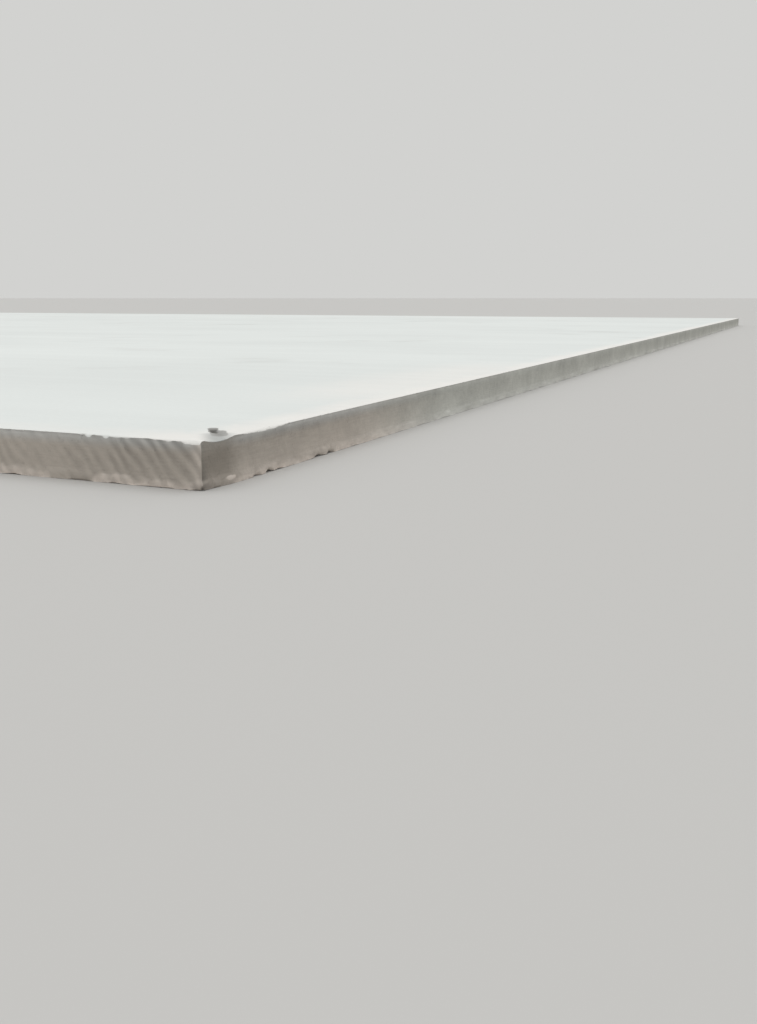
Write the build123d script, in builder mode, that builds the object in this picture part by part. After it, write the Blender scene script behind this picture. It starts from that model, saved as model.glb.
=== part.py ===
"""Fiber cement backer board: one full flat sheet, lying on its back face.

Millimetres, +Z up. The origin is the middle of the underside. +X runs along the sheet's length
and +Y across its width, from the front long edge to the rear one. The sheet is sound except
round one corner, where the front long edge meets the right-hand end.
"""

import os

from build123d import *

# The sheet
board_length = 2400.0
board_width = 1200.0
board_thickness = 9.0
arris_ease = 0.25

# The blunted corner, by how far its flat reaches along the front edge and along the end
blunt_along_front = 1.0
blunt_along_end = 10.5

# The dish beaten into the end's top arris, just behind that corner
dish_from_front = 5.6
dish_length = 8.8
dish_depth = 0.6

# The gouge in the top face, behind the dish
gouge_from_front = 14.9
gouge_from_end = 7.9
gouge_length = 7.2
gouge_width = 2.4
gouge_depth = 0.8
gouge_angle = 126.0
gouge_wall_slope = 35.0

# The shallow scrape beside the gouge, towards the end and along the same line
scrape_from_front = 11.5
scrape_from_end = 4.5
scrape_length = 9.6
scrape_width = 4.3
scrape_depth = 0.3
scrape_wall_slope = 60.0

# Bites out of the arrises near that corner: distance from it, length along the arris, depth
front_top_bites = ((2.8, 6.0, 0.6), (21.9, 1.9, 0.5), (25.9, 2.1, 0.5))
front_bottom_bites = ((0.8, 7.0, 0.5), (8.6, 3.5, 0.3), (28.8, 7.5, 0.4))
end_top_bites = ((21.3, 21.6, 0.4),)
end_bottom_bites = (
    (0.5, 18.0, 0.75),
    (17.6, 3.6, 0.55),
    (22.7, 3.6, 0.8),
    (44.2, 5.2, 0.75),
    (49.6, 4.2, 0.75),
)


def bite_radius(length: float, depth: float) -> float:
    """Radius of the ball that bites this long and this deep into a straight arris."""
    return (length**2 / 4 + depth**2) / (2 * depth)


def along_front(distance: float, stand_off: float) -> tuple[float, float]:
    """Where a ball stands off the front edge, this far from the corner."""
    return end_side - distance, front_side - stand_off


def along_end(distance: float, stand_off: float) -> tuple[float, float]:
    """Where a ball stands off the right-hand end, this far from the corner."""
    return end_side + stand_off, front_side + distance


front_side = -board_width / 2
end_side = board_length / 2
diagonal = 0.5**0.5
poles_level = (0, 90, 0)

with BuildPart() as board:
    with BuildSketch() as outline:
        with BuildLine() as sides:
            Polyline(
                (-end_side, front_side),
                (end_side - blunt_along_front, front_side),
                (end_side, front_side + blunt_along_end),
                (end_side, -front_side),
                (-end_side, -front_side),
                close=True,
            )
        make_face()
    extrude(amount=board_thickness)
    top_arrises = board.faces().sort_by(Axis.Z)[-1].edges()
    bottom_arrises = board.faces().sort_by(Axis.Z)[0].edges()
    chamfer(top_arrises + bottom_arrises, length=arris_ease)

    # A shallow ball over the end's top arris leaves the beaten dish. Its poles lie level, clear of
    # the sheet.
    dish_radius = bite_radius(dish_length, dish_depth)
    dish_height = board_thickness + dish_radius - dish_depth
    with Locations((end_side, front_side + dish_from_front, dish_height)):
        Sphere(dish_radius, rotation=poles_level, mode=Mode.SUBTRACT)

    # The gouge's middle line runs inwards, away from the corner, and the scrape's runs beside it
    with BuildSketch(Plane.XY.offset(board_thickness)) as gouge:
        with Locations((end_side - gouge_from_end, front_side + gouge_from_front)):
            SlotOverall(gouge_length, gouge_width, rotation=gouge_angle)
    extrude(amount=-gouge_depth, taper=gouge_wall_slope, mode=Mode.SUBTRACT)
    with BuildSketch(Plane.XY.offset(board_thickness)) as scrape:
        with Locations((end_side - scrape_from_end, front_side + scrape_from_front)):
            SlotOverall(scrape_length, scrape_width, rotation=gouge_angle)
    extrude(amount=-scrape_depth, taper=scrape_wall_slope, mode=Mode.SUBTRACT)

    # Balls that stand off an arris at 45 degrees bite the rest
    for bites, beside, level, up in (
        (front_top_bites, along_front, board_thickness, 1),
        (front_bottom_bites, along_front, 0.0, -1),
        (end_top_bites, along_end, board_thickness, 1),
        (end_bottom_bites, along_end, 0.0, -1),
    ):
        for distance, length, depth in bites:
            radius = bite_radius(length, depth)
            stand_off = (radius - depth) * diagonal
            with Locations((*beside(distance, stand_off), level + up * stand_off)):
                Sphere(radius, mode=Mode.SUBTRACT)

board.part.label = "board"

os.makedirs("parts", exist_ok=True)
export_step(board.part, "parts/board.step")
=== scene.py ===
"""A fiber cement backer board: one full sheet, lying flat on a pale studio floor.

Metres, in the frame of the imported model: the origin is the middle of the underside, +X runs
along the sheet, +Y across it and +Z up. The sheet is one piece. Its block is modelled with
edit-mode operators, its sawn edges, burr, wear and knocks are pressed into it by one relief
modifier, and its finish tells the pale pressed skin from the darker sawn core by depth.
"""

import logging
import math
from collections.abc import Callable
from dataclasses import dataclass
from enum import Enum
from functools import partial, reduce
from itertools import pairwise
from operator import mul

import bmesh
import bpy
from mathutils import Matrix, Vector


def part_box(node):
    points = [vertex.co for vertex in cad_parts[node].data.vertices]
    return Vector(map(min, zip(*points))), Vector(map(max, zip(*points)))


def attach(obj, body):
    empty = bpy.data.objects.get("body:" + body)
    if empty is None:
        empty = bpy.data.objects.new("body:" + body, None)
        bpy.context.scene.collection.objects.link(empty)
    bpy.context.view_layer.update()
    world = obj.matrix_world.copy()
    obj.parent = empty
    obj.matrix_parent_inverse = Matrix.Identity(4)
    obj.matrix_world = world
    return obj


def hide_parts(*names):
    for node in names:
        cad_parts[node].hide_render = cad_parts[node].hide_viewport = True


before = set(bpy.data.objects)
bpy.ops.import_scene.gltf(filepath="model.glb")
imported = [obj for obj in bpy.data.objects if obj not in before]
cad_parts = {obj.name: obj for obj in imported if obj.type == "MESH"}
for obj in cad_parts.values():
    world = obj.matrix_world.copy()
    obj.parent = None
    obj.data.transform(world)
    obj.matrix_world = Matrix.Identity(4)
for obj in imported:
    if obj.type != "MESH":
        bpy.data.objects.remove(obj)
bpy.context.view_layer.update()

log = logging.getLogger("backer_board")

MM = 0.001
PHOTO_HEIGHT = 1024
SENSOR = 36.0
WHITE = (1.0, 1.0, 1.0, 1.0)

# An edge counts as running along an axis when this share of its length does
STRAIGHT = 0.99

# How far behind the front's flat face a place still counts as on it. Millimetres
FRONT_FACE = (0.55, 0.3)

Colour = tuple[float, float, float, float]

# The ends of a soft change: where it begins and where it is whole. A band has two more: where it
# is last whole and where it is gone
Ends = tuple[float, ...]


def srgb(red: int, green: int, blue: int) -> Colour:
    """Linear colour of a screen colour.

    Args:
        red: red, 0 to 255.
        green: green, 0 to 255.
        blue: blue, 0 to 255.

    Returns:
        The colour as a shader's socket takes it, opaque.
    """
    return (*(((part / 255 + 0.055) / 1.055) ** 2.4 for part in (red, green, blue)), 1.0)


class Value:
    """A number that a node gives. Arithmetic on it adds Math nodes."""

    def __init__(self, graph: "Graph", socket: bpy.types.NodeSocket) -> None:
        """Wraps one output socket of a graph's node."""
        self.graph = graph
        self.socket = socket

    def __add__(self, other: "Value | float") -> "Value":
        """The sum."""
        return self.graph.math("ADD", self, other)

    def __radd__(self, other: float) -> "Value":
        """The sum, number first."""
        return self.graph.math("ADD", other, self)

    def __sub__(self, other: "Value | float") -> "Value":
        """The difference."""
        return self.graph.math("SUBTRACT", self, other)

    def __rsub__(self, other: float) -> "Value":
        """The difference, number first."""
        return self.graph.math("SUBTRACT", other, self)

    def __mul__(self, other: "Value | float") -> "Value":
        """The product."""
        return self.graph.math("MULTIPLY", self, other)

    def __rmul__(self, other: float) -> "Value":
        """The product, number first."""
        return self.graph.math("MULTIPLY", other, self)

    def __truediv__(self, other: "Value | float") -> "Value":
        """The quotient."""
        return self.graph.math("DIVIDE", self, other)

    def __abs__(self) -> "Value":
        """The size without its sign."""
        return self.graph.math("ABSOLUTE", self)


class Graph:
    """A node tree, written as expressions."""

    def __init__(self, tree: bpy.types.NodeTree) -> None:
        """Empties the tree, to write it anew."""
        self.tree = tree
        tree.nodes.clear()

    def node(
        self, kind: str, settings: dict[str, object], inputs: dict[str | int, object]
    ) -> bpy.types.Node:
        """Adds any node.

        Args:
            kind: the node's type.
            settings: its properties, set before its sockets.
            inputs: values or links, by the socket's name or number.

        Returns:
            The new node.
        """
        made = self.tree.nodes.new(kind)
        for name, setting in settings.items():
            setattr(made, name, setting)
        for name, given in inputs.items():
            socket = made.inputs[name]
            given = given.socket if isinstance(given, Value) else given
            if isinstance(given, bpy.types.NodeSocket):
                self.tree.links.new(given, socket)
            else:
                socket.default_value = given
        return made

    def math(self, operation: str, *terms: "Value | float") -> Value:
        """The result of one Math node."""
        made = self.node("ShaderNodeMath", {"operation": operation}, dict(enumerate(terms)))
        return Value(self, made.outputs[0])

    def vector(self, operation: str, *terms: object, result: int = 0) -> bpy.types.NodeSocket:
        """One output of a Vector Math node, by its number."""
        made = self.node("ShaderNodeVectorMath", {"operation": operation}, dict(enumerate(terms)))
        return made.outputs[result]

    def scaled(self, vector: object, factor: "Value | float") -> bpy.types.NodeSocket:
        """A vector times a number."""
        made = self.node("ShaderNodeVectorMath", {"operation": "SCALE"}, {0: vector, "Scale": factor})
        return made.outputs[0]

    def clamped(self, value: Value, low: float, high: float) -> Value:
        """A number kept between two others."""
        return self.math("MINIMUM", self.math("MAXIMUM", value, low), high)

    def length(self, vector: object) -> Value:
        """The length of a vector."""
        return Value(self, self.vector("LENGTH", vector, result=1))

    def across(self, first: Value, second: Value) -> Value:
        """The straight distance that two distances at right angles make."""
        return self.math("SQRT", first * first + second * second)

    def axes(self, vector: object) -> list[Value]:
        """The X, Y and Z of a vector."""
        made = self.node("ShaderNodeSeparateXYZ", {}, {0: vector})
        return [Value(self, socket) for socket in made.outputs]

    def joined(self, x: "Value | float", y: "Value | float", z: "Value | float") -> bpy.types.NodeSocket:
        """A vector of three numbers."""
        return self.node("ShaderNodeCombineXYZ", {}, {0: x, 1: y, 2: z}).outputs[0]

    def fade(self, value: Value, ends: Ends) -> Value:
        """Turns a value into a share that changes softly between ends.

        Args:
            value: the value.
            ends: where the share is 0 and where it is 1, rising or falling, and for a band also
                where it is last 1 and where it is 0 again.

        Returns:
            The share, from 0 to 1.
        """
        (start, whole), leaving = ends[:2], ends[2:]
        rising = start < whole
        limits = {"From Min": min(start, whole), "From Max": max(start, whole)}
        shares = {"To Min": float(not rising), "To Max": float(rising)}
        easing = {"interpolation_type": "SMOOTHSTEP"}
        made = self.node("ShaderNodeMapRange", easing, {"Value": value, **limits, **shares})
        share = Value(self, made.outputs[0])
        return share * self.fade(value, leaving[::-1]) if leaving else share

    def noise(self, where: object, size: float, detail: float = 2.0, rough: float = 0.5) -> Value:
        """Cloudy noise from 0 to 1.

        Args:
            where: the place, as a vector.
            size: the size of its clouds, in the same units.
            detail: how many finer layers it has.
            rough: how strong each finer layer is.

        Returns:
            The noise at that place.
        """
        made = self.node(
            "ShaderNodeTexNoise",
            {"noise_dimensions": "3D"},
            {"Vector": where, "Scale": 1 / size, "Detail": detail, "Roughness": rough},
        )
        return Value(self, made.outputs[0])

    def ripple(self, where: object, size: float, detail: float = 2.0, rough: float = 0.5) -> Value:
        """The same noise about 0, from -0.5 to 0.5."""
        return self.noise(where, size, detail, rough) - 0.5

    def stretched(self, where: object, x: float, y: float, z: float) -> bpy.types.NodeSocket:
        """A place divided by a size on each axis, so that noise on it is drawn out."""
        return self.vector("DIVIDE", where, (x, y, z))

    def blend(self, share: "Value | float", first: object, second: object) -> bpy.types.NodeSocket:
        """A colour between two, by the second one's share."""
        made = self.node("ShaderNodeMix", {"data_type": "RGBA"}, {0: share, 6: first, 7: second})
        return made.outputs[2]

    def surface(self, inputs: dict[str | int, object]) -> None:
        """Ends the tree in one principled surface with these inputs."""
        made = self.node("ShaderNodeBsdfPrincipled", {}, inputs)
        self.node("ShaderNodeOutputMaterial", {}, {"Surface": made.outputs[0]})


class Axis(Enum):
    """The frame's axes, by number."""

    X = 0
    Y = 1
    Z = 2


class Side(Enum):
    """The sheet's four edges: the axis each runs along, the axis it faces, and which way."""

    FRONT = (Axis.X, Axis.Y, -1)
    REAR = (Axis.X, Axis.Y, 1)
    RIGHT = (Axis.Y, Axis.X, 1)
    LEFT = (Axis.Y, Axis.X, -1)

    def __init__(self, runs: Axis, faces: Axis, sense: int) -> None:
        """Names the parts of each edge's value."""
        self.runs = runs
        self.faces = faces
        self.sense = sense


class Arris(Enum):
    """The arrises that meet near the knocked corner: the side each is on, and top or bottom."""

    FRONT_TOP = (Side.FRONT, 1)
    FRONT_BOTTOM = (Side.FRONT, -1)
    END_TOP = (Side.RIGHT, 1)
    END_BOTTOM = (Side.RIGHT, -1)


class Editor:
    """Edit-mode work on one mesh, with selections made by place."""

    def __init__(self, piece: bpy.types.Object) -> None:
        """Enters edit mode on the active object, with edges selectable."""
        self.piece = piece
        bpy.ops.object.mode_set(mode="EDIT")
        bpy.ops.mesh.select_mode(type="EDGE")

    def leave(self) -> None:
        """Goes back to object mode."""
        bpy.ops.object.mode_set(mode="OBJECT")

    def cut(self, axis: Axis, at: float) -> None:
        """Cuts the whole mesh across an axis.

        Args:
            axis: the axis that the cut is square to.
            at: the place on that axis.
        """
        point, normal = [0.0, 0.0, 0.0], [0.0, 0.0, 0.0]
        point[axis.value] = at
        normal[axis.value] = 1.0
        bpy.ops.mesh.select_all(action="SELECT")
        bpy.ops.mesh.bisect(plane_co=point, plane_no=normal, threshold=1e-7)

    def choose(self, wanted: Callable[[Vector, Vector], bool]) -> None:
        """Selects some edges, and nothing else.

        Args:
            wanted: tells from an edge's two ends whether it is one of them.
        """
        bpy.ops.mesh.select_all(action="DESELECT")
        mesh = bmesh.from_edit_mesh(self.piece.data)
        for edge in mesh.edges:
            first, second = edge.verts
            if wanted(first.co, second.co):
                edge.select_set(True)
        mesh.select_flush_mode()
        bmesh.update_edit_mesh(self.piece.data, loop_triangles=False, destructive=False)

    def divide(
        self,
        axis: Axis,
        low: float,
        high: float,
        parts: int,
        belongs: Callable[[Vector], bool] | None = None,
    ) -> None:
        """Divides the edges along an axis, between two places on it, into equal parts.

        Args:
            axis: the axis that the edges run along.
            low: the lower place.
            high: the higher place.
            parts: how many parts each edge is cut into.
            belongs: tells whether an end point is in the band that is divided, or None for all.
        """

        def wanted(first: Vector, second: Vector) -> bool:
            """Tells whether an edge runs along the axis, between the places and in the band."""
            span = second - first
            middle = (first[axis.value] + second[axis.value]) / 2
            along = abs(span[axis.value]) > STRAIGHT * span.length
            inside = belongs is None or (belongs(first) and belongs(second))
            return along and low < middle < high and inside

        self.choose(wanted)
        bpy.ops.mesh.subdivide(number_cuts=parts - 1)


@dataclass(frozen=True)
class Spot:
    """A place on the sheet, with its distances from what is near it. Millimetres.

    Attributes:
        graph: the node tree that it is worked out in.
        place: the place itself.
        along: a distance that grows both along the front and along the end.
        height: from the underside.
        drop: from the top face.
        inward: from the nearest edge.
        from_arris: from the nearest top arris.
        from_foot: from the nearest bottom arris.
        from_front: from the front edge.
        from_end: from the right-hand end.
        from_both: from the front edge and from that end, added up.
        on_front: 1 on the front edge's face, 0 elsewhere.
    """

    graph: Graph
    place: bpy.types.NodeSocket
    along: Value
    height: Value
    drop: Value
    inward: Value
    from_arris: Value
    from_foot: Value
    from_front: Value
    from_end: Value
    from_both: Value
    on_front: Value

    @classmethod
    def at(cls, graph: Graph, place: bpy.types.NodeSocket, size: Vector) -> "Spot":
        """Works out the distances at a place.

        Args:
            graph: a finish's or relief's node tree.
            place: the place, from the middle of the underside.
            size: the sheet's length, width and thickness.

        Returns:
            The place and its distances.
        """
        x, y, z = graph.axes(place)
        length, width, thickness = size
        inward = graph.math("MINIMUM", length / 2 - abs(x), width / 2 - abs(y))
        drop = thickness - z
        from_front = y + width / 2
        from_end = length / 2 - x
        return cls(
            graph=graph,
            place=place,
            along=x + y,
            height=z,
            drop=drop,
            inward=inward,
            from_arris=graph.across(inward, drop),
            from_foot=graph.across(inward, z),
            from_front=from_front,
            from_end=from_end,
            from_both=from_front + from_end,
            on_front=graph.fade(from_front, FRONT_FACE),
        )

    def on(self, side: Side) -> Value:
        """1 on the front's face, 0 elsewhere. For any other side it is the other way round."""
        return self.on_front if side is Side.FRONT else 1 - self.on_front

    def strip(self, rise: float = 0.0) -> bpy.types.NodeSocket:
        """The place on the edges laid out as one long strip, its height times a factor."""
        return self.graph.joined(self.along, 0.0, self.height * rise)


@dataclass(frozen=True)
class Patch:
    """A part of the sheet, by its ends on some of a spot's distances. Millimetres."""

    side: Side | None = None
    height: Ends = ()
    drop: Ends = ()
    inward: Ends = ()
    from_arris: Ends = ()
    from_front: Ends = ()
    from_end: Ends = ()
    from_both: Ends = ()
    wander: float = 0.0

    def share(self, spot: Spot, ripple: Value | float = 0.0) -> Value:
        """Tells how far a spot is inside the patch.

        Args:
            spot: the spot.
            ripple: the noise by which the patch's ends wander.

        Returns:
            1 inside, 0 outside, and a share between them on its soft ends.
        """
        reaches = (
            (spot.height, self.height),
            (spot.drop, self.drop),
            (spot.inward, self.inward),
            (spot.from_arris, self.from_arris),
            (spot.from_front, self.from_front),
            (spot.from_end, self.from_end),
            (spot.from_both, self.from_both),
        )
        shares = [] if self.side is None else [spot.on(self.side)]
        for distance, ends in reaches:
            if ends:
                distance = distance + ripple * self.wander if self.wander else distance
                shares.append(spot.graph.fade(distance, ends))
        return reduce(mul, shares)


@dataclass(frozen=True)
class Bite:
    """A scoop out of the sheet, as a ball leaves it. Millimetres."""

    centre: Vector
    radius: float
    roughness: float = 0.12
    grain: float = 1.1

    def gap(self, graph: Graph, place: object) -> Value:
        """How far a place is from the surface of the ball."""
        return graph.length(graph.vector("SUBTRACT", place, tuple(self.centre))) - self.radius

    def press(self, graph: Graph, place: object) -> bpy.types.NodeSocket:
        """Pushes what lies inside the ball straight out to its surface.

        Args:
            graph: the relief's node tree.
            place: a point of the sheet's surface.

        Returns:
            The point after the bite.
        """
        radius = graph.ripple(place, self.grain, detail=3) * (2 * self.roughness) + self.radius
        arm = graph.vector("SUBTRACT", place, tuple(self.centre))
        stretch = graph.math("MAXIMUM", radius / graph.length(arm), 1.0)
        return graph.vector("ADD", tuple(self.centre), graph.scaled(arm, stretch))


@dataclass(frozen=True)
class Furrow:
    """A mark along a line on the top face, with round ends and sloping sides. Millimetres."""

    middle: Vector
    direction: Vector
    length: float
    width: float
    depth: float = 0.0
    floor_share: float = 0.1
    roughness: float = 0.3
    grain: float = 2.4

    def share(self, graph: Graph, place: object) -> Value:
        """Tells how deep a place is in the furrow.

        Args:
            graph: a finish's or relief's node tree.
            place: the place.

        Returns:
            1 on the furrow's floor, falling to 0 at its rim.
        """
        reach = (self.length - self.width) / 2
        from_middle = graph.vector("SUBTRACT", place, tuple(self.middle))
        from_middle = graph.vector("MULTIPLY", from_middle, (1, 1, 0))
        along = Value(graph, graph.vector("DOT_PRODUCT", from_middle, tuple(self.direction), result=1))
        nearest = graph.scaled(tuple(self.direction), graph.clamped(along, -reach, reach))
        ragged = graph.ripple(place, self.grain, detail=3) * (2 * self.roughness)
        aside = graph.length(graph.vector("SUBTRACT", from_middle, nearest)) + ragged
        return graph.fade(aside, (self.width / 2, self.width / 2 * self.floor_share))

    def sink(self, graph: Graph, place: object) -> bpy.types.NodeSocket:
        """Lowers a point that stands above the furrow's bottom.

        Args:
            graph: the relief's node tree.
            place: a point of the sheet's surface.

        Returns:
            The point after the furrow.
        """
        x, y, z = graph.axes(place)
        bottom = self.middle.z - self.share(graph, place) * self.depth
        return graph.joined(x, y, graph.math("MINIMUM", z, bottom))


@dataclass(frozen=True)
class Chip:
    """A chip out of an arris, by its distance from the near corner. Millimetres."""

    arris: Arris
    distance: float
    length: float
    depth: float

    def bite(self, corner: Vector, thickness: float) -> Bite:
        """The ball that leaves the chip, standing off the arris at 45 degrees.

        Args:
            corner: the sheet's near corner, at the top.
            thickness: the sheet's thickness.

        Returns:
            The ball.
        """
        side, level = self.arris.value
        radius = bite_radius(self.length, self.depth)
        off = (radius - self.depth) * math.sqrt(0.5)
        centre = corner.copy()
        centre[side.runs.value] += self.distance if side is Side.RIGHT else -self.distance
        centre[side.faces.value] += off * side.sense
        centre.z += off if level > 0 else -thickness - off
        return Bite(centre, radius)


def bite_radius(length: float, depth: float) -> float:
    """Radius of the ball that bites this long and this deep."""
    return (length**2 / 4 + depth**2) / (2 * depth)


@dataclass(frozen=True)
class Swell:
    """A stretch of the burr, by its middle's distance from the near corner. Millimetres.

    It is thicker than the rest where its change is above 0, and thinner where that is below.
    """

    side: Side
    middle: float
    reach: float
    change: float
    ease: float = 3.0

    def at(self, spot: Spot) -> Value:
        """What the stretch adds to the burr's thickness.

        Args:
            spot: the place.

        Returns:
            What it adds there, nothing past its ends.
        """
        distance = spot.from_end if self.side is Side.FRONT else spot.from_front
        share = spot.graph.fade(abs(distance - self.middle), (self.reach, self.reach - self.ease))
        return share * spot.on(self.side) * self.change


@dataclass(frozen=True)
class Knocks:
    """The damage round the near corner. Millimetres, from that corner."""

    corner: Vector
    thickness: float
    dish_distance: float = 5.6
    dish_length: float = 8.8
    dish_depth: float = 0.6
    gouge_angle: float = 126.0
    gouge_place: tuple[float, float] = (7.9, 14.9)
    gouge_size: tuple[float, float, float] = (7.4, 2.5, 0.85)
    scrape_place: tuple[float, float] = (4.5, 11.5)
    scrape_size: tuple[float, float, float] = (9.8, 4.6, 0.35)
    # Where the skin between the dish and the gouge takes painted shade
    bruise_shade_place: tuple[float, float] = (1.8, 7.2)
    bruise_shade_size: tuple[float, float] = (14.0, 8.4)
    flake_place: tuple[float, float] = (8.6, 1.25)
    flake_stretch: tuple[float, float, float] = (0.5, 0.5, 2.0)
    flake_grain: float = 1.2
    flake_roughness: float = 0.6
    flake_ends: Ends = (1.1, 0.6)
    rubbed_arris: Chip = Chip(Arris.END_TOP, 21.3, 21.6, 0.4)
    crushed: tuple[Chip, ...] = (
        Chip(Arris.FRONT_TOP, 2.8, 6.0, 0.6),
        Chip(Arris.FRONT_TOP, 21.9, 1.9, 0.5),
        Chip(Arris.FRONT_TOP, 25.9, 2.1, 0.5),
        Chip(Arris.FRONT_TOP, 7.6, 10.4, 0.3),
        Chip(Arris.FRONT_TOP, 19.3, 14.6, 0.28),
    )
    chips: tuple[Chip, ...] = (
        Chip(Arris.FRONT_BOTTOM, 0.6, 3.0, 1.0),
        Chip(Arris.FRONT_BOTTOM, 0.8, 7.0, 0.5),
        Chip(Arris.FRONT_BOTTOM, 8.6, 3.5, 0.3),
        Chip(Arris.FRONT_BOTTOM, 28.8, 7.5, 0.4),
        Chip(Arris.END_BOTTOM, 0.5, 18.0, 0.75),
        Chip(Arris.END_BOTTOM, 17.6, 3.6, 0.55),
        Chip(Arris.END_BOTTOM, 22.7, 3.6, 0.8),
        Chip(Arris.END_BOTTOM, 44.2, 5.2, 0.75),
        Chip(Arris.END_BOTTOM, 49.6, 4.2, 0.75),
    )

    def dish(self) -> Bite:
        """The ball that beat the shallow dish into the end's top arris."""
        radius = bite_radius(self.dish_length, self.dish_depth)
        return Bite(self.corner + Vector((0, self.dish_distance, radius - self.dish_depth)), radius)

    def rubbed(self) -> Bite:
        """The big ball that rubbed the end's top arris down, past the dish."""
        return self.rubbed_arris.bite(self.corner, self.thickness)

    def furrow(self, place: tuple[float, float], size: tuple[float, ...]) -> Furrow:
        """A furrow along the gouge's line.

        Args:
            place: how far its middle is from the end and from the front.
            size: its length, its width and, where it has one, its depth.

        Returns:
            The furrow.
        """
        angle = math.radians(self.gouge_angle)
        middle = self.corner + Vector((-place[0], place[1], 0))
        return Furrow(middle, Vector((math.cos(angle), math.sin(angle), 0)), *size)

    def gouge(self) -> Furrow:
        """The gouge in the top face, behind the dish."""
        return self.furrow(self.gouge_place, self.gouge_size)

    def scrape(self) -> Furrow:
        """The shallow scrape beside the gouge, towards the end."""
        return self.furrow(self.scrape_place, self.scrape_size)

    def bruise_shade(self, graph: Graph, place: object) -> Value:
        """1 on the knocked skin between the dish and the gouge, where painted shade lies, falling to 0
        round it.
        """
        return self.furrow(self.bruise_shade_place, self.bruise_shade_size).share(graph, place)

    def beaten(self, graph: Graph, place: object) -> Value:
        """Finds where the skin was pressed down rather than torn off.

        Args:
            graph: the finish's node tree.
            place: the place.

        Returns:
            How far the place is from the nearest surface that was pressed down.
        """
        gap = graph.math("MINIMUM", self.dish().gap(graph, place), self.rubbed().gap(graph, place))
        for chip in self.crushed:
            gap = graph.math("MINIMUM", gap, chip.bite(self.corner, self.thickness).gap(graph, place))
        return gap

    def flake(self, graph: Graph, place: object) -> Value:
        """Finds the pale flake low on the end.

        Args:
            graph: the finish's node tree.
            place: the place.

        Returns:
            1 on the flake, fading to 0 round it.
        """
        from_front, height = self.flake_place
        middle = self.corner + Vector((0, from_front, height - self.thickness))
        away = graph.vector("SUBTRACT", place, tuple(middle))
        away = graph.length(graph.vector("MULTIPLY", away, self.flake_stretch))
        ragged = graph.ripple(place, self.flake_grain) * (2 * self.flake_roughness)
        return graph.fade(away + ragged, self.flake_ends)

    def apply(self, graph: Graph, place: object) -> bpy.types.NodeSocket:
        """Takes every bite out of the surface.

        Args:
            graph: the relief's node tree.
            place: a point of the sheet's surface.

        Returns:
            The point after all of them.
        """
        chipped = (chip.bite(self.corner, self.thickness) for chip in (*self.crushed, *self.chips))
        for bite in (self.dish(), self.rubbed(), *chipped):
            place = bite.press(graph, place)
        for furrow in (self.gouge(), self.scrape()):
            place = furrow.sink(graph, place)
        return place


@dataclass(frozen=True)
class SawMarks:
    """The leaning strokes that the saw left on the edges. Millimetres and degrees."""

    pitch: float = 3.0
    lean: float = 32.0
    bow: float = 0.018
    wander: float = 3.6
    wander_size: float = 6.0
    wander_rise: float = 0.4
    cover_size: float = 10.0
    cover_rise: float = 1.6
    cover_ends: Ends = (0.34, 0.66)
    cover_share: float = 0.6
    clear_part: Patch = Patch(Side.FRONT, from_end=(24.0, 17.0))
    clear_share: float = 0.5

    def strokes(self, spot: Spot) -> Value:
        """Draws the strokes, patchy but for the clear ones by the near corner.

        Args:
            spot: the place.

        Returns:
            -1 in a groove to 1 on a ridge, nearer to 0 where the strokes are faint.
        """
        graph = spot.graph
        drift = graph.noise(spot.strip(self.wander_rise), self.wander_size, detail=1)
        bowed = spot.height * spot.height * self.bow
        leaning = spot.along + spot.height * math.tan(math.radians(self.lean))
        phase = leaning + bowed + drift * self.wander
        wave = graph.math("SINE", phase * (2 * math.pi / self.pitch))
        cover = graph.noise(spot.strip(self.cover_rise), self.cover_size)
        patchy = graph.fade(cover, self.cover_ends) * self.cover_share
        return wave * (patchy + self.clear_part.share(spot) * self.clear_share)


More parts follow.
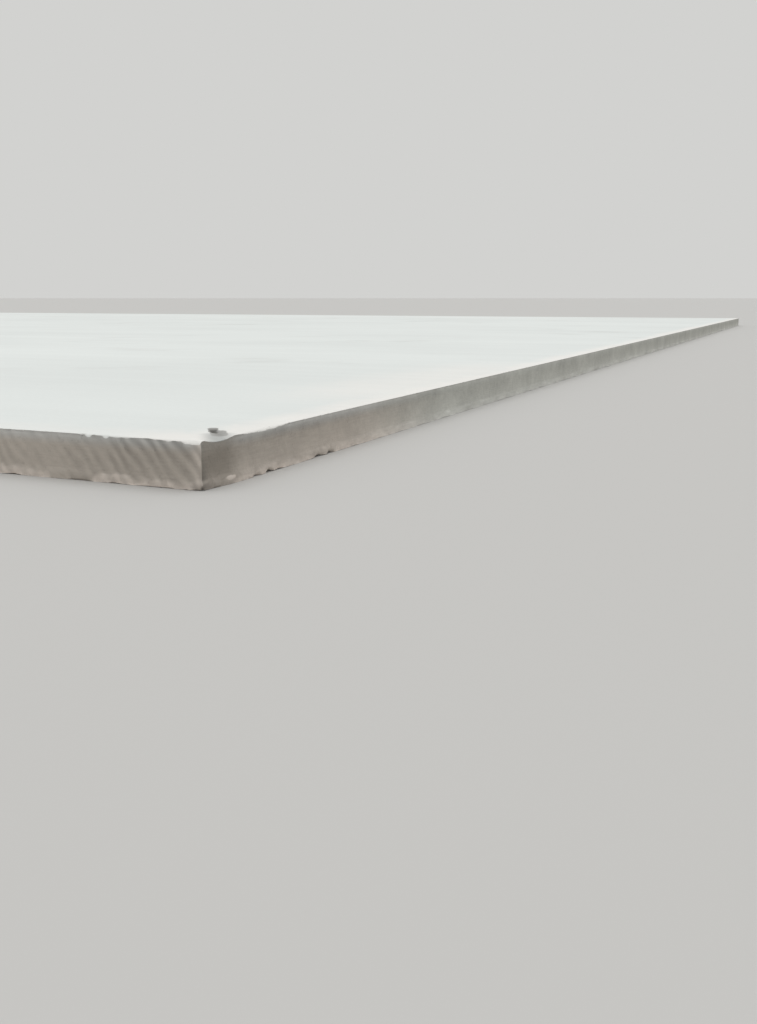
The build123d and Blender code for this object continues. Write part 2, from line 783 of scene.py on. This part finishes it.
@dataclass(frozen=True)
class Relief:
    """What sawing and wear took off the flat faces. Millimetres."""

    marks: SawMarks
    by_front: Patch = Patch(from_front=(3.0, 1.0))
    upright: Ends = (0.85, 0.3)
    fine_reach: Ends = (150.0, 70.0)
    recess: float = 0.15
    undercut: float = 0.18
    undercut_part: Patch = Patch(height=(7.5, 2.0))
    groove: float = 0.02
    front_groove: float = 0.08
    tear: float = 0.12
    tear_size: float = 1.5
    lip_height: float = 1.7
    lip_ease: float = 0.3
    lip_size: float = 2.2
    lip_rise: float = 0.25
    lip_gaps: Ends = (-0.2, 0.1)
    crumb_size: float = 2.0
    crumb_ends: Ends = (0.5, 0.72)
    top_reach: Ends = (1.1, 0.0)
    top_wear: float = 0.32
    eaten_size: float = 9.0
    eaten_ends: Ends = (0.46, 0.7)
    bottom_reach: Ends = (2.0, 0.0)
    bottom_wear: float = 0.3
    front_bottom_wear: float = 0.1

    def depth(self, spot: Spot, normal: object, from_corner: Value) -> Value:
        """How deep the surface lies at a spot, square to the flat face.

        Args:
            spot: the place.
            normal: the way the flat face points there.
            from_corner: the distance from the near corner, past which fine relief is left out.

        Returns:
            The depth, never below 0.
        """
        graph = spot.graph
        by_front = self.by_front.share(spot)
        wall = self.wall_depth(spot, by_front, graph.fade(from_corner, self.fine_reach))
        on_wall = graph.fade(abs(graph.axes(normal)[Axis.Z.value]), self.upright)
        return wall * on_wall + self.arris_wear(spot, by_front)

    def wall_depth(self, spot: Spot, by_front: Value, fine: Value) -> Value:
        """How deep a sawn edge lies: torn, grooved and leaning in above a ragged lip of burr.

        Args:
            spot: the place.
            by_front: 1 on and by the front edge, 0 elsewhere.
            fine: the share of the fine relief there.

        Returns:
            The depth, never below 0.
        """
        graph = spot.graph
        grooves = 0.5 - self.marks.strokes(spot) * 0.5
        torn = graph.ripple(spot.place, self.tear_size, detail=3) * self.tear
        sawn = (grooves * (by_front * self.front_groove + self.groove) + torn) * fine
        ragged = graph.ripple(spot.strip(self.lip_rise), self.lip_size, detail=3)
        lip_ends = (self.lip_height + self.lip_ease, self.lip_height - self.lip_ease)
        lip = graph.fade(spot.height + ragged * self.lip_height, lip_ends)
        lip = lip * graph.fade(ragged, self.lip_gaps)
        set_back = self.undercut_part.share(spot) * self.undercut + self.recess
        return graph.math("MAXIMUM", set_back * (1 - lip) + sawn, 0.0)

    def arris_wear(self, spot: Spot, by_front: Value) -> Value:
        """How deep the arrises are crumbled, at the top and more so at the bottom.

        Args:
            spot: the place.
            by_front: 1 on and by the front edge, 0 elsewhere.

        Returns:
            The depth, 0 away from the arrises.
        """
        graph = spot.graph
        crumbled = graph.fade(graph.noise(spot.place, self.crumb_size, detail=3), self.crumb_ends)
        top = graph.fade(spot.from_arris, self.top_reach) * crumbled * self.top_wear
        eaten = graph.fade(graph.noise(spot.strip(), self.eaten_size, detail=4), self.eaten_ends)
        bottom = graph.fade(spot.from_foot, self.bottom_reach) * eaten
        return top + bottom * (by_front * self.front_bottom_wear + self.bottom_wear)


@dataclass(frozen=True)
class Grain:
    """The noises that the finish is mixed from, each from -0.5 to 0.5."""

    fine: Value
    flecks: Value
    clouds: Value
    drag: Value
    mottle: Value
    layers: Value
    blotches: Value

    @classmethod
    def at(cls, spot: Spot) -> "Grain":
        """Makes the noises, each with its own size in millimetres.

        Args:
            spot: the place.

        Returns:
            The noises there.
        """
        graph, place = spot.graph, spot.place
        return cls(
            fine=graph.ripple(place, 0.5, detail=3),
            flecks=graph.ripple(graph.stretched(place, 1.6, 0.7, 1.0), 1.0, detail=4, rough=0.6),
            clouds=graph.ripple(graph.stretched(place, 170.0, 95.0, 40.0), 1.0, detail=4),
            drag=graph.ripple(graph.stretched(place, 420.0, 9.0, 20.0), 1.0, detail=3),
            mottle=graph.ripple(place, 2.6, detail=5, rough=0.62),
            layers=graph.ripple(graph.stretched(place, 5.0, 5.0, 0.4), 1.0, detail=3, rough=0.6),
            blotches=graph.ripple(place, 14.0, detail=4, rough=0.6),
        )


@dataclass(frozen=True)
class PressedSkin:
    """The pale, close face: clouded and smudged, lighter by the arrises in a painted highlight. Sizes in
    millimetres.
    """

    plain: Colour = srgb(224, 228, 225)
    # Painted highlight: the paler skin along the arrises
    arris_highlight: Colour = srgb(237, 235, 230)
    # Painted shade on the knocked skin between the dish and the gouge
    smudged: Colour = srgb(200, 202, 198)
    shaded_bruise: Colour = srgb(176, 178, 175)
    roughness: float = 0.82
    smudge_size: float = 62.0
    smudge_ends: Ends = (0.56, 0.78)
    smudge_share: float = 0.4
    bruise_shade_share: float = 0.9
    cloud_wander: float = 12.0
    blotch_wander: float = 14.0
    arris_highlight_band: Patch = Patch(inward=(12.0, 0.5), wander=1.0)
    arris_highlight_share: float = 0.35
    by_end: Patch = Patch(from_end=(24.0, 8.0))
    end_highlight_share: float = 0.55
    wide_highlight_band: Patch = Patch(from_end=(46.0, 14.0), wander=1.5)
    wide_stretch: Patch = Patch(from_front=(55.0, 105.0, 180.0, 260.0))
    wide_highlight_share: float = 0.6
    cloud_tone: float = 0.16
    drag_tone: float = 0.07
    fleck_tone: float = 0.09
    fine_height: float = 0.012
    fleck_height: float = 0.02

    def colour(self, spot: Spot, grain: Grain, bruise_shade: Value) -> bpy.types.NodeSocket:
        """Mixes the face's colour.

        Args:
            spot: the place.
            grain: the noises there.
            bruise_shade: the share of painted shade on the knocked skin there.

        Returns:
            The colour.
        """
        graph = spot.graph
        smudges = graph.noise(spot.place, self.smudge_size, detail=5, rough=0.55)
        smudges = graph.fade(smudges, self.smudge_ends) * self.smudge_share
        colour = graph.blend(smudges, self.plain, self.smudged)
        wander = grain.clouds * self.cloud_wander + grain.blotches * self.blotch_wander
        # Painted highlight: a narrow band along every arris, stronger by the end, and a wide one by the
        # end
        strength = self.by_end.share(spot) * self.end_highlight_share + self.arris_highlight_share
        narrow = self.arris_highlight_band.share(spot, wander) * strength
        wide = self.wide_highlight_band.share(spot, wander) * self.wide_stretch.share(spot)
        pale = graph.math("MAXIMUM", narrow, wide * self.wide_highlight_share)
        colour = graph.blend(pale, colour, self.arris_highlight)
        # Painted shade on the knocked skin
        colour = graph.blend(bruise_shade * self.bruise_shade_share, colour, self.shaded_bruise)
        tone = grain.clouds * self.cloud_tone + grain.drag * self.drag_tone
        return graph.scaled(colour, tone + grain.flecks * self.fleck_tone + 1.0)

    def height(self, grain: Grain) -> Value:
        """How high the face stands in its bump, in millimetres."""
        return grain.fine * self.fine_height + grain.flecks * self.fleck_height


@dataclass(frozen=True)
class Burr:
    """The pale crumbs pressed together low on an edge, patchy and uneven. Sizes in millimetres."""

    patch_size: float = 16.0
    swells: tuple[Swell, ...] = (
        Swell(Side.FRONT, 20.8, 5.0, 0.22),
        Swell(Side.FRONT, 30.2, 6.2, -0.4),
        Swell(Side.RIGHT, 46.0, 7.0, -0.2),
    )
    wander: float = 2.0
    growth: float = 3.0
    height: Ends = (1.8, 0.7)
    gaps: Ends = (-0.24, -0.02)

    def share(self, spot: Spot, grain: Grain) -> Value:
        """Tells how far a spot is in the burr.

        Args:
            spot: the place.
            grain: the noises there.

        Returns:
            1 in the burr, 0 above it and where it is knocked off.
        """
        graph = spot.graph
        thickness = graph.ripple(spot.strip(), self.patch_size, detail=3)
        for swell in self.swells:
            thickness = thickness + swell.at(spot)
        height = spot.height + grain.mottle * self.wander - thickness * self.growth
        return graph.fade(height, self.height) * graph.fade(thickness, self.gaps)


@dataclass(frozen=True)
class SawnCore:
    """The darker, rougher inside, bare on the edges and in the chips. Sizes in millimetres."""

    plain: Colour = srgb(180, 172, 162)
    by_skin: Colour = srgb(183, 182, 178)
    far: Colour = srgb(178, 179, 172)
    crumbs: Colour = srgb(214, 204, 194)
    far_crumbs: Colour = srgb(206, 206, 200)
    # Partly wear, partly painted highlight: the pale rim along the top arrises
    worn_highlight: Colour = srgb(237, 235, 230)
    # Painted shade on the crushed facet at the corner
    shaded_bruise: Colour = srgb(146, 139, 129)
    # Painted shade deep in chips and the gouge, with some dust
    dust_and_shade: Colour = srgb(86, 83, 77)
    roughness: float = 0.95
    skin_band: Patch = Patch(height=(6.2, 8.6))
    far_part: Patch = Patch(from_front=(50.0, 130.0), from_end=(60.0, 10.0))
    far_share: float = 0.9
    # Paler low on the end: partly burr crumbs, partly painted bounce light from below
    low_crumbs_and_bounce: Patch = Patch(Side.RIGHT, height=(6.0, 1.5), wander=4.0)
    low_crumbs_and_bounce_share: float = 0.25
    tip: Patch = Patch(Side.FRONT, from_end=(3.8, 1.6))
    tip_share: float = 0.55
    rim: Patch = Patch(from_arris=(1.5, 0.4), wander=1.0)
    rim_highlight_share: float = 0.12
    tip_rim_highlight_share: float = 0.5
    burr: Burr = Burr()
    burr_share: float = 0.8
    # Where the crushed facet on the end takes painted shade
    bruise_shade: Patch = Patch(Side.RIGHT, from_front=(14.0, 6.0), from_end=(1.4, 1.0))
    bruise_shade_share: float = 0.5
    above_burr: Patch = Patch(height=(1.0, 4.5), wander=2.0)
    above_burr_share: float = 0.4
    bruise_shade_top: Patch = Patch(height=(5.0, 8.0))
    bruise_shade_top_share: float = 0.2
    # Where the painted shade deep in chips and the gouge lies
    in_chip: Patch = Patch(inward=(0.4, 0.8), drop=(0.3, 0.9))
    in_gouge: Patch = Patch(inward=(2.0, 3.0), drop=(0.15, 0.7))
    gouge_shade_share: float = 0.85
    dust_and_shade_share: float = 0.8
    stroke_tone: float = 0.015
    front_stroke_tone: float = 0.13
    layer_tone: float = 0.08
    end_layer_tone: float = 0.16
    mottle_tone: float = 0.32
    blotch_tone: float = 0.3
    end_blotch_tone: float = 0.2
    pore_size: float = 0.9
    pore_ends: Ends = (0.62, 0.75)
    pore_tone: float = 0.1
    handled: Patch = Patch(from_front=(75.0, 12.0), from_end=(40.0, 12.0))
    handled_tone: float = 0.13
    cleaner_share: float = 0.8
    # Painted shade, and how dark it is: a shadow at the corner's foot, the end above its middle, a
    # band under the end's skin and the nearer part of that band
    painted_shades: tuple[tuple[Patch, float], ...] = (
        (Patch(height=(1.8, 0.6), from_both=(6.5, 0.5)), 0.4),
        (Patch(Side.RIGHT, height=(2.5, 7.0), from_front=(6.0, 13.0)), 0.06),
        (Patch(Side.RIGHT, drop=(0.3, 1.0, 1.5, 3.4), from_front=(12.0, 22.0, 115.0, 150.0)), 0.09),
        (Patch(Side.RIGHT, drop=(0.3, 1.0, 1.5, 3.4), from_front=(12.0, 22.0, 48.0, 56.0)), 0.05),
    )
    mottle_height: float = 0.18
    layer_height: float = 0.05
    fine_height: float = 0.08
    stroke_height: float = 0.01

    def colour(self, spot: Spot, grain: Grain, strokes: Value, flake: Value) -> bpy.types.NodeSocket:
        """The sawn edge: greyer under the skin, paler in the burr, the rubbed tip and the flake, with
        painted highlight, bounce light and shade.

        Args:
            spot: the place.
            grain: the noises there.
            strokes: the saw's strokes there.
            flake: the pale flake's share there.

        Returns:
            The colour.
        """
        graph = spot.graph
        far = self.far_part.share(spot)
        crumbs = graph.blend(far, self.crumbs, self.far_crumbs)
        colour = graph.blend(self.skin_band.share(spot), self.plain, self.by_skin)
        colour = graph.blend(far * self.far_share, colour, self.far)
        # Paler low on the end: partly burr crumbs, partly painted bounce light from below
        low = self.low_crumbs_and_bounce.share(spot, grain.mottle)
        colour = graph.blend(low * self.low_crumbs_and_bounce_share, colour, crumbs)
        # The pale rim along the top arrises: partly wear, partly painted highlight, stronger at the tip
        tip = self.tip.share(spot)
        rim = self.rim.share(spot, grain.mottle) * (tip * self.tip_rim_highlight_share + self.rim_highlight_share)
        colour = graph.blend(rim, colour, self.worn_highlight)
        in_burr = self.burr.share(spot, grain)
        colour = graph.blend(in_burr * self.burr_share, colour, crumbs)
        # Painted shade on the crushed facet
        bruise_shade = self.bruise_shade.share(spot)
        colour = graph.blend(bruise_shade * self.bruise_shade_strength(spot, grain), colour, self.shaded_bruise)
        colour = graph.blend(graph.math("MAXIMUM", tip * self.tip_share, flake), colour, self.crumbs)
        # Painted shade deep in chips and the gouge, with some dust
        shaded = self.shaded(spot) * (1 - bruise_shade)
        colour = graph.blend(shaded * self.dust_and_shade_share, colour, self.dust_and_shade)
        clean = graph.math("MAXIMUM", in_burr * (1 - bruise_shade), flake)
        return graph.scaled(colour, self.tone(spot, grain, strokes, clean))

    def bruise_shade_strength(self, spot: Spot, grain: Grain) -> Value:
        """How strong the painted shade on the end's crushed facet is: most so between the burr and the
        skin.

        Args:
            spot: the place.
            grain: the noises there.

        Returns:
            The painted shade's share of the colour where it is whole.
        """
        above_burr = self.above_burr.share(spot, grain.mottle)
        top = self.bruise_shade_top.share(spot)
        return above_burr * self.above_burr_share + self.bruise_shade_share - top * self.bruise_shade_top_share

    def shaded(self, spot: Spot) -> Value:
        """1 deep in a chip, and nearly so in the gouge, where painted shade, with some dust, darkens the
        core.
        """
        in_gouge = self.in_gouge.share(spot) * self.gouge_shade_share
        return spot.graph.math("MAXIMUM", self.in_chip.share(spot), in_gouge)

    def tone(self, spot: Spot, grain: Grain, strokes: Value, clean: Value) -> Value:
        """How light or dark the core is: stroked, layered, blotched, pored, grimy by the corner, and in
        painted shade.

        Args:
            spot: the place.
            grain: the noises there.
            strokes: the saw's strokes there.
            clean: the share of fresh core there, which takes less grime.

        Returns:
            The factor of its colour.
        """
        graph = spot.graph
        off_front = 1 - spot.on_front
        tone = 1.0 + strokes * (spot.on_front * self.front_stroke_tone + self.stroke_tone)
        tone = tone + grain.layers * (off_front * self.end_layer_tone + self.layer_tone)
        tone = tone + grain.mottle * self.mottle_tone
        tone = tone + grain.blotches * (off_front * self.end_blotch_tone + self.blotch_tone)
        pores = graph.fade(graph.noise(spot.place, self.pore_size), self.pore_ends)
        handled = self.handled.share(spot) * (1 - clean * self.cleaner_share)
        tone = tone - pores * self.pore_tone - handled * self.handled_tone
        # Painted shade, patch by patch
        for patch, strength in self.painted_shades:
            tone = tone - patch.share(spot) * strength
        return tone

    def height(self, grain: Grain, strokes: Value) -> Value:
        """How high the core stands in its bump, in millimetres."""
        coarse = grain.mottle * self.mottle_height + grain.layers * self.layer_height
        return coarse + grain.fine * self.fine_height + strokes * self.stroke_height


@dataclass(frozen=True)
class FibreCement:
    """Pressed fibre cement: a pale skin over a darker core. Sizes in millimetres."""

    skin: PressedSkin = PressedSkin()
    core: SawnCore = SawnCore()
    marks: SawMarks = SawMarks()
    skin_depth: float = 0.14
    whole_skin_share: float = 0.3
    underside_share: float = 0.25
    skin_ragged: float = 0.08
    specular: float = 0.35

    def material(self, sheet: "BackerBoard") -> bpy.types.Material:
        """Makes the finish for one sheet.

        Args:
            sheet: the sheet that wears it, for its size and its knocks.

        Returns:
            The material.
        """
        made = bpy.data.materials.new("fibre_cement")
        made.use_nodes = True
        graph = Graph(made.node_tree)
        spot = sheet.spot(graph, graph.node("ShaderNodeTexCoord", {}, {}).outputs["Object"])
        grain = Grain.at(spot)
        knocks = sheet.knocks
        strokes = self.marks.strokes(spot)
        is_core = self.is_core(spot, grain, knocks.beaten(graph, spot.place))
        # The knocked skin between the dish and the gouge takes painted shade
        skin = self.skin.colour(spot, grain, knocks.bruise_shade(graph, spot.place))
        core = self.core.colour(spot, grain, strokes, knocks.flake(graph, spot.place))
        skin_height = self.skin.height(grain)
        height = skin_height + is_core * (self.core.height(grain, strokes) - skin_height)
        bump = graph.node("ShaderNodeBump", {}, {"Height": height, "Distance": MM})
        rougher = self.core.roughness - self.skin.roughness
        graph.surface(
            {
                "Base Color": graph.blend(is_core, skin, core),
                "Roughness": is_core * rougher + self.skin.roughness,
                "Normal": bump.outputs[0],
                "Specular IOR Level": self.specular,
            }
        )
        return made

    def is_core(self, spot: Spot, grain: Grain, beaten: Value) -> Value:
        """Tells the core from the skin by depth. The underside's skin is thinner than the face's.

        Args:
            spot: the place.
            grain: the noises there.
            beaten: the distance from where the skin was pressed down.

        Returns:
            0 on the pressed skin, 1 where the core shows.
        """
        graph = spot.graph
        from_skin = graph.math("MINIMUM", spot.drop, beaten)
        from_skin = graph.math("MINIMUM", from_skin, spot.height / self.underside_share)
        ragged = from_skin + grain.fine * self.skin_ragged
        return graph.fade(ragged, (self.whole_skin_share * self.skin_depth, self.skin_depth))


@dataclass(frozen=True)
class Cells:
    """How finely the sheet's mesh is divided, by the distance from its near corner. Metres."""

    rim: float = 2.4 * MM
    rim_rows: int = 7
    wall_rows: int = 24
    patch: float = 24 * MM
    near_lines: tuple[float, ...] = (60 * MM, 120 * MM, 240 * MM, 600 * MM)
    far_line: float = 30 * MM
    finest: float = 0.28 * MM
    by_far_corners: float = 1 * MM
    widest: float = 10 * MM
    share: float = 1 / 75
    slack: float = 0.01 * MM

    def near_size(self, from_near: float) -> float:
        """The length of a cell, this far from the near corner."""
        return self.finest if from_near < self.patch else max(self.finest, from_near * self.share)

    def far_size(self, from_corner: float) -> float:
        """The longest that a cell may be, this far from any corner."""
        return self.by_far_corners if from_corner < self.patch else self.widest


@dataclass
class BackerBoard:
    """The sheet: a sawn, pressed slab with one knocked corner. Metres and degrees."""

    low: Vector
    high: Vector
    finish: FibreCement = FibreCement()
    cells: Cells = Cells()
    ease: float = 0.17 * MM
    ease_rows: int = 3
    blunt_along_front: float = 1.0 * MM
    blunt_along_end: float = 10.5 * MM
    arris_angle: float = 45.0
    smooth_angle: float = 50.0
    name: str = "backer_board"

    @property
    def size(self) -> Vector:
        """Length, width and thickness."""
        return self.high - self.low

    @property
    def knocks(self) -> Knocks:
        """The damage, placed from the box's near corner."""
        return Knocks(Vector((self.high.x, self.low.y, self.high.z)) / MM, self.size.z / MM)

    def spot(self, graph: Graph, place: object) -> Spot:
        """The distances, in millimetres, at a place in metres."""
        return Spot.at(graph, graph.scaled(place, 1 / MM), self.size / MM)

    def block(self) -> bpy.types.Object:
        """Models the slab, with fine cells round the near corner.

        Returns:
            The slab, with its faces still flat.
        """
        bpy.ops.object.select_all(action="DESELECT")
        bpy.ops.mesh.primitive_cube_add(size=1, location=(self.low + self.high) / 2, scale=self.size)
        slab = bpy.context.object
        slab.name = slab.data.name = self.name
        bpy.ops.object.transform_apply(location=True, rotation=True, scale=True)
        editor = Editor(slab)
        self.blunt_corner(editor)
        bpy.ops.mesh.select_all(action="DESELECT")
        bpy.ops.mesh.edges_select_sharp(sharpness=math.radians(self.arris_angle))
        bpy.ops.mesh.bevel(offset=self.ease, segments=self.ease_rows, affect="EDGES")
        self.rule_cells(editor)
        editor.leave()
        return slab

    def blunt_corner(self, editor: Editor) -> None:
        """Moves the near corner in, so that a narrow flat turns it.

        Args:
            editor: edit mode on the slab.
        """

        def at_corner(first: Vector, second: Vector) -> bool:
            """Tells whether an edge stands at the near corner."""
            middle = self.low.y + self.blunt_along_end / 2
            return min(first.x, second.x) > 0 and max(first.y, second.y) < middle

        editor.cut(Axis.Y, self.low.y + self.blunt_along_end)
        editor.choose(at_corner)
        bpy.ops.transform.translate(value=(-self.blunt_along_front, 0, 0))

    def lines(self, axis: Axis) -> list[float]:
        """The places where the mesh is cut right across.

        Args:
            axis: the axis that the cuts are square to.

        Returns:
            The places on that axis in order, the eased ends included.
        """
        near = (self.ease, self.cells.rim, self.cells.patch, *self.cells.near_lines)
        far = (self.ease, self.cells.rim, self.cells.far_line)
        from_low, from_high = (far, near) if axis is Axis.X else (near, far)
        low, high = self.low[axis.value], self.high[axis.value]
        return sorted([low + place for place in from_low] + [high - place for place in from_high])

    def on_side(self, side: Side, point: Vector) -> bool:
        """Tells whether a point is on one side or its rim, or in the fine patch beside it.

        Args:
            side: the side.
            point: the point.

        Returns:
            Whether it is.
        """
        outer = self.high if side.sense > 0 else self.low
        rim = self.cells.rim + self.cells.slack
        if abs(point[side.faces.value] - outer[side.faces.value]) < rim:
            return True
        patch = self.cells.patch + self.cells.slack
        in_patch = point.x > self.high.x - patch and point.y < self.low.y + patch
        on_face = point.z > self.high.z - self.cells.slack
        return side in (Side.FRONT, Side.RIGHT) and in_patch and on_face

    def cell(self, side: Side, low: float, high: float) -> float:
        """The length of the cells on a stretch of one side.

        Args:
            side: the side.
            low: the stretch's lower end, along the side.
            high: the stretch's higher end.

        Returns:
            A cell's length: fine by the near corner, wide far from any corner.
        """
        axis = side.runs.value
        longest = self.cells.far_size(min(low - self.low[axis], self.high[axis] - high))
        if side in (Side.REAR, Side.LEFT):
            return longest
        from_near = self.high.x - high if side is Side.FRONT else low - self.low.y
        return min(longest, self.cells.near_size(from_near))

    def rule_cells(self, editor: Editor) -> None:
        """Divides the edges and rims into cells that widen away from the near corner.

        Args:
            editor: edit mode on the slab.
        """
        for axis in (Axis.X, Axis.Y):
            for place in self.lines(axis)[1:-1]:
                editor.cut(axis, place)
        for axis in (Axis.X, Axis.Y):
            for low, high in pairwise(self.lines(axis)):
                if high - low < self.cells.rim:
                    editor.divide(axis, low, high, self.cells.rim_rows)
                    continue
                for side in (side for side in Side if side.runs is axis):
                    parts = math.ceil((high - low) / self.cell(side, low, high))
                    editor.divide(axis, low, high, parts, partial(self.on_side, side))
        editor.divide(Axis.Z, self.low.z, self.high.z, self.cells.wall_rows)

    def wear(self, slab: bpy.types.Object) -> None:
        """Presses the saw marks, the burr, the wear and the knocks into the slab.

        Args:
            slab: the slab, active and in object mode.
        """
        tree = bpy.data.node_groups.new("relief", "GeometryNodeTree")
        for way in ("INPUT", "OUTPUT"):
            tree.interface.new_socket("Geometry", in_out=way, socket_type="NodeSocketGeometry")
        graph = Graph(tree)
        mesh = graph.node("NodeGroupInput", {}, {}).outputs[0]
        spot = self.spot(graph, graph.node("GeometryNodeInputPosition", {}, {}).outputs[0])
        normal = graph.node("GeometryNodeInputNormal", {}, {}).outputs[0]
        from_corner = graph.length(graph.vector("SUBTRACT", spot.place, tuple(self.knocks.corner)))
        depth = Relief(self.finish.marks).depth(spot, normal, from_corner)
        place = graph.vector("SUBTRACT", spot.place, graph.scaled(normal, depth))
        place = graph.scaled(self.knocks.apply(graph, place), MM)
        moved = graph.node("GeometryNodeSetPosition", {}, {"Geometry": mesh, "Position": place})
        graph.node("NodeGroupOutput", {}, {0: moved.outputs[0]})
        slab.modifiers.new("relief", "NODES").node_group = tree
        bpy.ops.object.modifier_apply(modifier="relief")
        bpy.data.node_groups.remove(tree)

    def make(self) -> bpy.types.Object:
        """Models, wears and dresses the sheet, and puts it in the solid's place.

        Returns:
            The finished piece.
        """
        slab = self.block()
        self.wear(slab)
        bpy.ops.object.shade_smooth_by_angle(angle=math.radians(self.smooth_angle))
        slab.data.materials.append(self.finish.material(self))
        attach(slab, "root")
        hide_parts("board")
        triangles = sum(len(face.vertices) - 2 for face in slab.data.polygons)
        log.info("%s: %d triangles", slab.name, triangles)
        return slab


@dataclass
class Studio:
    """A pale floor, soft light from above, and the photograph's camera. Metres and degrees."""

    corner: Vector
    floor_size: float = 400.0
    floor_colour: Colour = srgb(196, 195, 192)
    floor_roughness: float = 0.9
    backdrop_colour: Colour = srgb(210, 210, 208)
    room_light: float = 0.72
    lamp_spread: float = 70.0
    lamp_strength: float = 0.92
    lamp_lean: float = -8.0
    camera_offset: tuple[float, float, float] = (0.0980, -0.1461, 0.0248)
    camera_heading: float = 23.83
    camera_tilt: float = 12.19
    focal_pixels: float = 990.0
    nearest_seen: float = 0.01

    def floor(self) -> None:
        """Lays the floor at the height of the sheet's underside."""
        bpy.ops.object.select_all(action="DESELECT")
        bpy.ops.mesh.primitive_plane_add(size=self.floor_size)
        floor = bpy.context.object
        floor.name = "floor"
        paint = bpy.data.materials.new("floor_paint")
        paint.use_nodes = True
        finish = {"Base Color": self.floor_colour, "Roughness": self.floor_roughness}
        Graph(paint.node_tree).surface(finish)
        floor.data.materials.append(paint)
        log.info("floor: %.0f m square", self.floor_size)

    def room(self) -> None:
        """Fills the room with even light, and shows the camera a pale backdrop."""
        room = bpy.data.worlds.new("room")
        bpy.context.scene.world = room
        room.use_nodes = True
        graph = Graph(room.node_tree)
        light = graph.node("ShaderNodeBackground", {}, {"Color": WHITE, "Strength": self.room_light})
        backdrop = graph.node("ShaderNodeBackground", {}, {"Color": self.backdrop_colour})
        path = graph.node("ShaderNodeLightPath", {}, {}).outputs
        seen = Value(graph, path["Is Camera Ray"])
        for ray in ("Is Glossy Ray", "Is Transmission Ray"):
            seen = graph.math("MAXIMUM", seen, Value(graph, path[ray]))
        shown = {0: seen, 1: light.outputs[0], 2: backdrop.outputs[0]}
        mixed = graph.node("ShaderNodeMixShader", {}, shown)
        graph.node("ShaderNodeOutputWorld", {}, {"Surface": mixed.outputs[0]})

    def lamp(self) -> None:
        """Hangs a wide, soft light nearly overhead, the same all over the floor."""
        data = bpy.data.lights.new("overhead", "SUN")
        data.angle = math.radians(self.lamp_spread)
        data.energy = self.lamp_strength
        lamp = bpy.data.objects.new("overhead", data)
        lamp.rotation_euler = (math.radians(self.lamp_lean), 0, 0)
        bpy.context.scene.collection.objects.link(lamp)

    def camera(self) -> None:
        """Puts the camera where the photograph was taken from."""
        data = bpy.data.cameras.new("camera")
        data.sensor_width = SENSOR
        data.lens = self.focal_pixels * SENSOR / PHOTO_HEIGHT
        data.clip_start = self.nearest_seen
        data.clip_end = 2 * self.floor_size
        camera = bpy.data.objects.new("camera", data)
        camera.location = self.corner + Vector(self.camera_offset)
        upright = math.radians(90 - self.camera_tilt)
        camera.rotation_euler = (upright, 0, math.radians(self.camera_heading))
        bpy.context.scene.collection.objects.link(camera)
        bpy.context.scene.camera = camera

    def make(self) -> None:
        """Sets up the whole studio."""
        self.floor()
        self.room()
        self.lamp()
        self.camera()
        bpy.context.scene.view_settings.view_transform = "Standard"


def main() -> None:
    """Builds the sheet and the studio."""
    logging.basicConfig(level=logging.INFO, format="%(name)s: %(message)s")
    board = BackerBoard(*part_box("board"))
    board.make()
    Studio(corner=Vector((board.high.x, board.low.y, board.high.z))).make()


if __name__ == "__main__":
    main()
